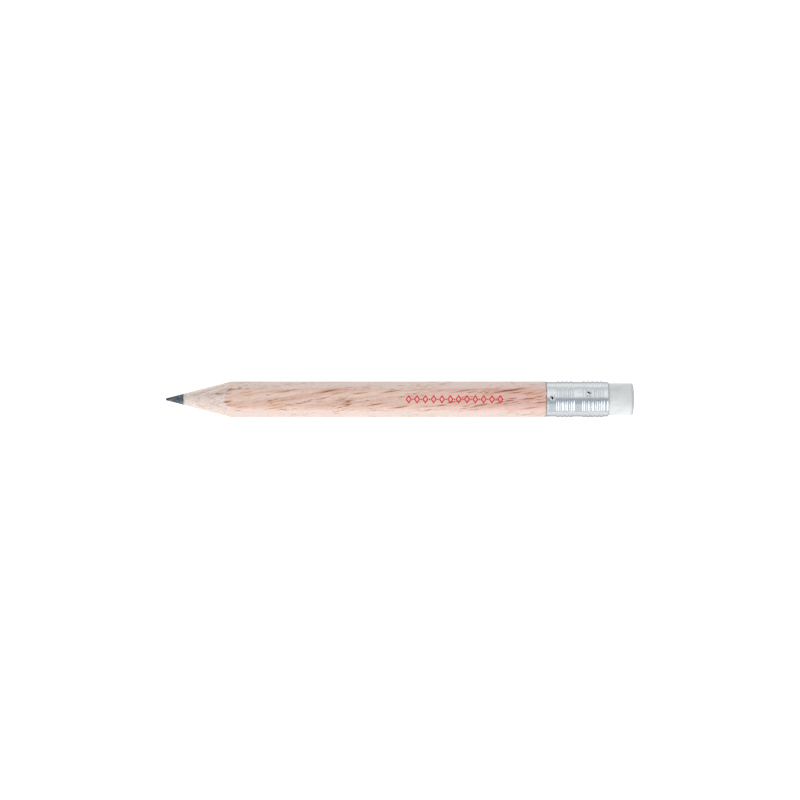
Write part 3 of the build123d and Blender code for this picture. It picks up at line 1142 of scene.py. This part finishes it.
@dataclass(frozen=True)
class Lead:
    """The graphite core, with the facets and the worn point that sharpening and use leave."""

    layout: Layout
    facets: int = 9
    facet_depth: float = 0.35
    columns: int = 108
    cone_rows: int = 46
    tip_rows: int = 10
    rod_rows: int = 12

    def _flattened(self, angle: np.ndarray) -> np.ndarray:
        """Share of the radius that uneven facets leave: 1 at their edges, less between them."""
        step = 2 * pi / self.facets
        uneven = angle + 0.12 * np.sin(2 * angle + 0.7) + 0.07 * np.sin(3 * angle)
        fold = (uneven % step) - step / 2
        return 1 - self.facet_depth * (1 - cos(step / 2) / np.cos(fold))

    def build(self) -> bpy.types.Object:
        """Makes the lead: a rod, then the faceted cone, then a worn round point.

        Returns:
            The lead, which stands for its CAD node.
        """
        layout = self.layout
        angle = np.linspace(0, 2 * pi, self.columns, endpoint=False)
        rod_x = np.linspace(layout.wood_end, layout.cone_reaches(layout.lead), self.rod_rows)
        rod = layout.around(rod_x[:, None], layout.lead, angle)
        bow = layout.blunting * cos(layout.half_angle)
        radius = np.linspace(layout.lead, bow, self.cone_rows)[1:, None]
        blend = smooth(0, 0.12, 1 - radius / layout.lead)
        faceted = radius * (1 - blend * (1 - self._flattened(angle)))
        cone = layout.around(layout.cone_reaches(radius), faceted, angle)
        polar = np.linspace(pi / 2 - layout.half_angle, 0, self.tip_rows)[1:-1, None]
        worn = 1 + 0.05 * ripple(angle, 3, range(2, 7)) * np.sin(polar)
        tip_x = layout.point + layout.blunting * (1 - np.cos(polar))
        tip = layout.around(tip_x, layout.blunting * np.sin(polar) * worn * self._flattened(angle), angle)
        shell = Shell()
        rows = ringed(np.concatenate([shell.add(rod), shell.add(cone), shell.add(tip)]))
        shell.skin(rows)
        ends = np.array([[layout.wood_end, 0, layout.axis], [layout.point, 0, layout.axis]])
        back, front = shell.add(ends)
        shell.fan(rows[0, :-1], back)
        shell.fan(rows[-1, :-1], front)
        made = shell.piece("lead_core", [Graphite("sharpened graphite", layout)], crease=radians(35))
        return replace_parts(made, "graphite_lead")


@dataclass(frozen=True)
class Ferrule:
    """The ribbed aluminium tube, with rolled rims and two rings of torn dimples."""

    layout: Layout
    dimples: Dimples
    rib_pitch: float = 0.92 * MM
    breadth: float = 0.72
    groups: tuple = ((2.55 * MM, 4), (8.05 * MM, 5))
    flare: float = 0.03 * MM
    columns: int = 250
    outer_rows: int = 176
    inner_rows: int = 90
    rim_rows: int = 7

    def _crests(self) -> np.ndarray:
        """X of each rib's crest."""
        places = [first + self.rib_pitch * np.arange(count) for first, count in self.groups]
        return self.layout.shoulder + np.concatenate(places)

    def _height(self, x: np.ndarray) -> np.ndarray:
        """Height of the ribs: each is a power of one wave, (1 + cos) / 2 of the distance from its
        crest. A power under 1 makes the crests broad and the troughs narrow.
        """
        away = np.clip(np.abs(x[..., None] - self._crests()) / self.rib_pitch, 0, 0.5)
        return self.layout.rib_height * ((0.5 + 0.5 * np.cos(2 * pi * away)) ** self.breadth).sum(-1)

    def _line(self, x: np.ndarray, wall_radius: float, angle: np.ndarray) -> tuple:
        """X and radius of one side of the wall: ribs out, dimples in, and a slight flare."""
        x = x[:, None]
        mouth = self.flare * (1 - smooth(0, 0.5 * MM, x - self.layout.shoulder))
        return x, wall_radius + self._height(x) + mouth - self.dimples.dent(x, angle)

    def _density(self, x: np.ndarray) -> np.ndarray:
        """1 on the plain bands, more on the ribs, and most at the dimples."""
        ribs = 4 * (self._height(x) > 0)
        rings = [self.layout.shoulder + ring[0] for ring in self.dimples.rings]
        dented = sum(9 * np.exp(-(((x - ring) / (0.6 * MM)) ** 2)) for ring in rings)
        return 1 + ribs + dented

    def build(self) -> bpy.types.Object:
        """Makes the ferrule: outside, rolled rim, inside, and the other rim, sewn into a ring.

        Returns:
            The ferrule, which stands for its CAD node.
        """
        layout, half_wall = self.layout, self.layout.wall / 2
        angle = self.dimples.angles(self.columns)
        low, high = layout.shoulder + half_wall, layout.ferrule_end - half_wall
        shell = Shell()
        walls = []
        for first, last, rows, wall_radius, torn in (
            (low, high, self.outer_rows, layout.tube, 1.0),
            (high, low, self.inner_rows, layout.tube - layout.wall, 0.0),
        ):
            x, radius = self._line(crowded(first, last, rows, self._density), wall_radius, angle)
            slit = self.dimples.slit(x, angle)
            points = layout.around(x, radius - slit * self.dimples.slit_depth, angle)
            # The outside's slits carry the mark that the metal finish paints with near-black shade.
            walls.append(shell.add(points, torn * slit))
        outside, inside = walls
        around_rim = np.linspace(pi / 2, -pi / 2, self.rim_rows)[1:-1, None]
        end_rim = shell.add(layout.around(
            high + half_wall * np.cos(around_rim),
            layout.tube - half_wall + half_wall * np.sin(around_rim),
            angle,
        ))
        mouth_rim = shell.add(layout.around(
            low - half_wall * np.cos(around_rim),
            layout.tube + self.flare - half_wall - half_wall * np.sin(around_rim),
            angle,
        ))
        rows = np.concatenate([outside, end_rim, inside, mouth_rim, outside[:1]])
        shell.skin(ringed(rows))
        metal = Aluminium("drawn aluminium", layout)
        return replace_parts(shell.piece("ribbed_ferrule", [metal], crease=radians(50)), "ferrule")


@dataclass(frozen=True)
class Eraser:
    """The vinyl plug: a taper in the ferrule, then a straight side, a rounded edge and a low dome."""

    layout: Layout
    dimples: Dimples
    gripped: float = 3.42 * MM
    inner_end: float = 3.3 * MM
    edge_radius: float = 0.45 * MM
    dome_radius: float = 16 * MM
    swell: float = 0.05 * MM
    columns: int = 160
    gripped_rows: int = 60
    free_rows: int = 24
    edge_rows: int = 12
    dome_rows: int = 14

    @property
    def corner(self) -> tuple[float, float, float]:
        """X and radius of the edge arc's centre, and the angle at which it meets the dome's arc.

        The edge arc touches the dome from inside, so the two centres are the difference of the two
        radii apart.
        """
        lifted = self.layout.eraser - self.edge_radius
        apart = self.dome_radius - self.edge_radius
        meeting = asin(lifted / apart)
        return self.layout.end - self.dome_radius + apart * cos(meeting), lifted, meeting

    def _gripped_part(self, angle: np.ndarray) -> tuple:
        """Inside the ferrule: a taper, with the dents of the dimples."""
        layout = self.layout
        x = np.linspace(layout.eraser_start, layout.ferrule_end, self.gripped_rows)[:, None]
        share = (x - layout.eraser_start) / (layout.ferrule_end - layout.eraser_start)
        taper = self.inner_end + (self.gripped - self.inner_end) * share
        return x, np.minimum(taper, self.dimples.room(x, angle))

    def _free_part(self) -> tuple:
        """Outside the ferrule: it swells a little, runs straight, and turns over a rounded edge."""
        layout = self.layout
        centre, lifted, meeting = self.corner
        x = np.linspace(layout.ferrule_end, centre, self.free_rows)[:, None]
        out = smooth(0, 0.35 * MM, x - layout.ferrule_end)
        side = layout.eraser - self.swell * (1 - out)
        turn = np.linspace(pi / 2, meeting, self.edge_rows)[1:, None]
        edge_x = centre + self.edge_radius * np.cos(turn)
        edge = lifted + self.edge_radius * np.sin(turn)
        return np.concatenate([x, edge_x]), np.concatenate([side, edge])

    def _dome(self) -> tuple:
        """The end: an arc of a large circle."""
        turn = np.linspace(self.corner[2], 0, self.dome_rows)[1:-1, None]
        x = self.layout.end - self.dome_radius * (1 - np.cos(turn))
        return x, self.dome_radius * np.sin(turn)

    def build(self) -> bpy.types.Object:
        """Makes the eraser.

        Returns:
            The eraser, which stands for its CAD node.
        """
        layout = self.layout
        angle = self.dimples.angles(self.columns)
        shell = Shell()
        x, radius = self._gripped_part(angle)
        rows = [shell.add(layout.around(x, radius, angle))]
        wear = 0.012 * MM * ripple(angle, 9, range(2, 9))
        x, radius = self._free_part()
        late = smooth(layout.end - 1.5 * MM, layout.end, x)
        rows.append(shell.add(layout.around(x, radius - late * np.abs(wear), angle)))
        x, radius = self._dome()
        rows.append(shell.add(layout.around(x, radius, angle)))
        numbers = ringed(np.concatenate(rows))
        shell.skin(numbers)
        ends = np.array([[layout.eraser_start, 0, layout.axis], [layout.end, 0, layout.axis]])
        back, front = shell.add(ends)
        shell.fan(numbers[0, :-1], back)
        shell.fan(numbers[-1, :-1], front)
        made = shell.piece("white_eraser", [Vinyl("eraser vinyl", layout)], crease=radians(40))
        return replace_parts(made, "eraser")


# --------------------------------------------------------------------------------------- studio


@dataclass(frozen=True)
class Softbox:
    """One area light: the direction it stands in, its distance, its size and its radiance.

    Azimuth 0 is -Y, and it grows towards +X. Roll leans the light about the line to its target. A
    fill light shows in no reflection.
    """

    name: str
    azimuth: float
    elevation: float
    distance: float
    width: float
    height: float
    radiance: float
    roll: float = 0.0
    fill: bool = False

    def place(self, target: np.ndarray) -> None:
        """Adds the light, aimed at a target.

        Its power is radiance times pi times its area, because an area light sends out light evenly.
        """
        a, e = radians(self.azimuth), radians(self.elevation)
        away = np.array([sin(a) * cos(e), -cos(a) * cos(e), sin(e)])
        lamp = bpy.data.lights.new(self.name, "AREA")
        lamp.shape, lamp.size, lamp.size_y = "RECTANGLE", self.width, self.height
        lamp.energy = self.radiance * pi * self.width * self.height
        made = bpy.data.objects.new(self.name, lamp)
        made.location = target + self.distance * away
        made.rotation_mode = "QUATERNION"
        direction = Vector(-away)
        leant = Quaternion((0, 0, 1), radians(self.roll))
        made.rotation_quaternion = direction.to_track_quat("-Z", "Y") @ leant
        made.visible_camera = False
        made.visible_glossy = not self.fill
        bpy.context.scene.collection.objects.link(made)


@dataclass(frozen=True)
class Studio:
    """A lit white table, a soft sky, lights on the near side, and a camera above.

    The sky is white, less bright near the horizon, on the near side and beyond the pencil's ends, and
    dim in a strip overhead along the pencil. The strip is where y / z of a direction is within a half
    width of its middle. Below the horizon it is white again, and the table shows in no reflection, so
    that the undersides reflect plain white.
    """

    layout: Layout
    table_side: float = 6.0
    camera_height: float = 0.9
    field: float = 0.1708
    sensor: float = 0.036
    image_drop: float = -0.15 * MM
    far_sky: str = "#ffffff"
    near_sky: str = "#d6dde4"
    horizon: str = "#d8dce0"
    strip: str = "#a9afb8"
    below: str = "#ffffff"
    ends: str = "#c4c8cc"
    strip_middle: float = -0.23
    strip_half: float = 0.42
    strip_edge: float = 0.16
    lights: tuple = (
        Softbox("left softbox", -24, 38, 0.7, 0.18, 0.9, 2.0, roll=21),
        Softbox("right softbox", 29, 38, 0.7, 0.18, 0.9, 2.0, roll=-21),
        Softbox("near fill", 0, 30, 1.0, 0.8, 0.5, 1.5, fill=True),
    )

    def build(self) -> None:
        """Adds the table, the sky, the lights and the camera."""
        self._table()
        self._sky()
        middle = np.array([0.0, 0.0, self.layout.axis])
        for light in self.lights:
            light.place(middle)
        self._camera()
        bpy.context.scene.view_settings.view_transform = "Standard"

    def _table(self) -> None:
        """The table: a square at the height on which the ferrule's ribs rest."""
        reach = self.table_side / 2
        corners = [(-reach, -reach, 0), (reach, -reach, 0), (reach, reach, 0), (-reach, reach, 0)]
        mesh = bpy.data.meshes.new("table")
        mesh.from_pydata(corners, [], [(0, 1, 2, 3)])
        mesh.materials.append(LitAcrylic("lit opal acrylic").material())
        table = bpy.data.objects.new("table", mesh)
        table.visible_glossy = False
        bpy.context.scene.collection.objects.link(table)

    def _sky(self) -> None:
        """Adds the sky as the world's background."""
        world = bpy.data.worlds.new("studio")
        bpy.context.scene.world = world
        world.use_nodes = True
        tree = world.node_tree
        around = add_node(tree, "TexCoord", {}, "Generated")
        parts = add_node(tree, "SeparateXYZ", {0: around}).node.outputs
        lengthwise = add_node(tree, "Math", {0: parts[0]}, operation="ABSOLUTE")
        height = add_node(tree, "Math", {0: parts[2], 1: 0.02}, operation="MAXIMUM")
        slope = add_node(tree, "Math", {0: parts[1], 1: height}, operation="DIVIDE")
        away = add_node(tree, "Math", {0: slope, 1: self.strip_middle}, operation="SUBTRACT")
        aside = add_node(tree, "Math", {0: away}, operation="ABSOLUTE")
        outer, inner = self.strip_half + self.strip_edge, self.strip_half - self.strip_edge
        steps = (
            ({0: parts[1], 1: -0.2, 2: 0.2}, self.far_sky),
            ({0: parts[2], 1: 0.75, 2: 0.1}, self.horizon),
            ({0: lengthwise, 1: 0.35, 2: 0.85, 4: 0.8}, self.ends),
            ({0: aside, 1: outer, 2: inner}, self.strip),
            ({0: parts[2], 1: 0.0, 2: -0.15}, self.below),
        )
        layers = [(add_node(tree, "MapRange", step, **EASED), colour) for step, colour in steps]
        shade = layered(tree, self.near_sky, *layers)
        tree.links.new(shade, tree.nodes["Background"].inputs["Color"])

    def _camera(self) -> None:
        """A long lens straight above the pencil's middle, with +Y up in the picture."""
        lens = bpy.data.cameras.new("camera")
        lens.sensor_width = self.sensor / MM
        lens.lens = self.sensor * self.camera_height / self.field / MM
        lens.clip_start, lens.clip_end = 0.01, 20.0
        camera = bpy.data.objects.new("camera", lens)
        camera.location = (0.0, self.image_drop, self.layout.axis + self.camera_height)
        bpy.context.scene.collection.objects.link(camera)
        bpy.context.scene.camera = camera


# --------------------------------------------------------------------------------------- making


def report(piece: bpy.types.Object) -> None:
    """Logs a piece's name, its faces and its size in millimetres."""
    size = " x ".join(f"{side / MM:.2f}" for side in piece.dimensions)
    log.info("%s: %d faces, %s mm", piece.name, len(piece.data.polygons), size)


def main() -> None:
    """Builds the studio and the pencil."""
    logging.basicConfig(level=logging.INFO, format="%(name)s: %(message)s")
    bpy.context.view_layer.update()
    layout = Layout.from_frame()
    Studio(layout).build()
    dimples = Dimples(layout)
    slats = Slats(layout, dimples)
    pieces = {
        "wood": [slats.build(half) for half in Half],
        "glue": [GlueFilm(layout, slats).build()],
        "graphite": [Lead(layout).build()],
        "aluminium": [Ferrule(layout, dimples).build()],
        "eraser_vinyl": [Eraser(layout, dimples).build()],
    }
    for slot, made in pieces.items():
        for piece in made:
            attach(piece, BODY)
            report(piece)
    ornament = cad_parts["printed_ornament"]
    Ink("red printing ink", layout).dress(ornament)
    report(ornament)


if __name__ == "__main__":
    main()
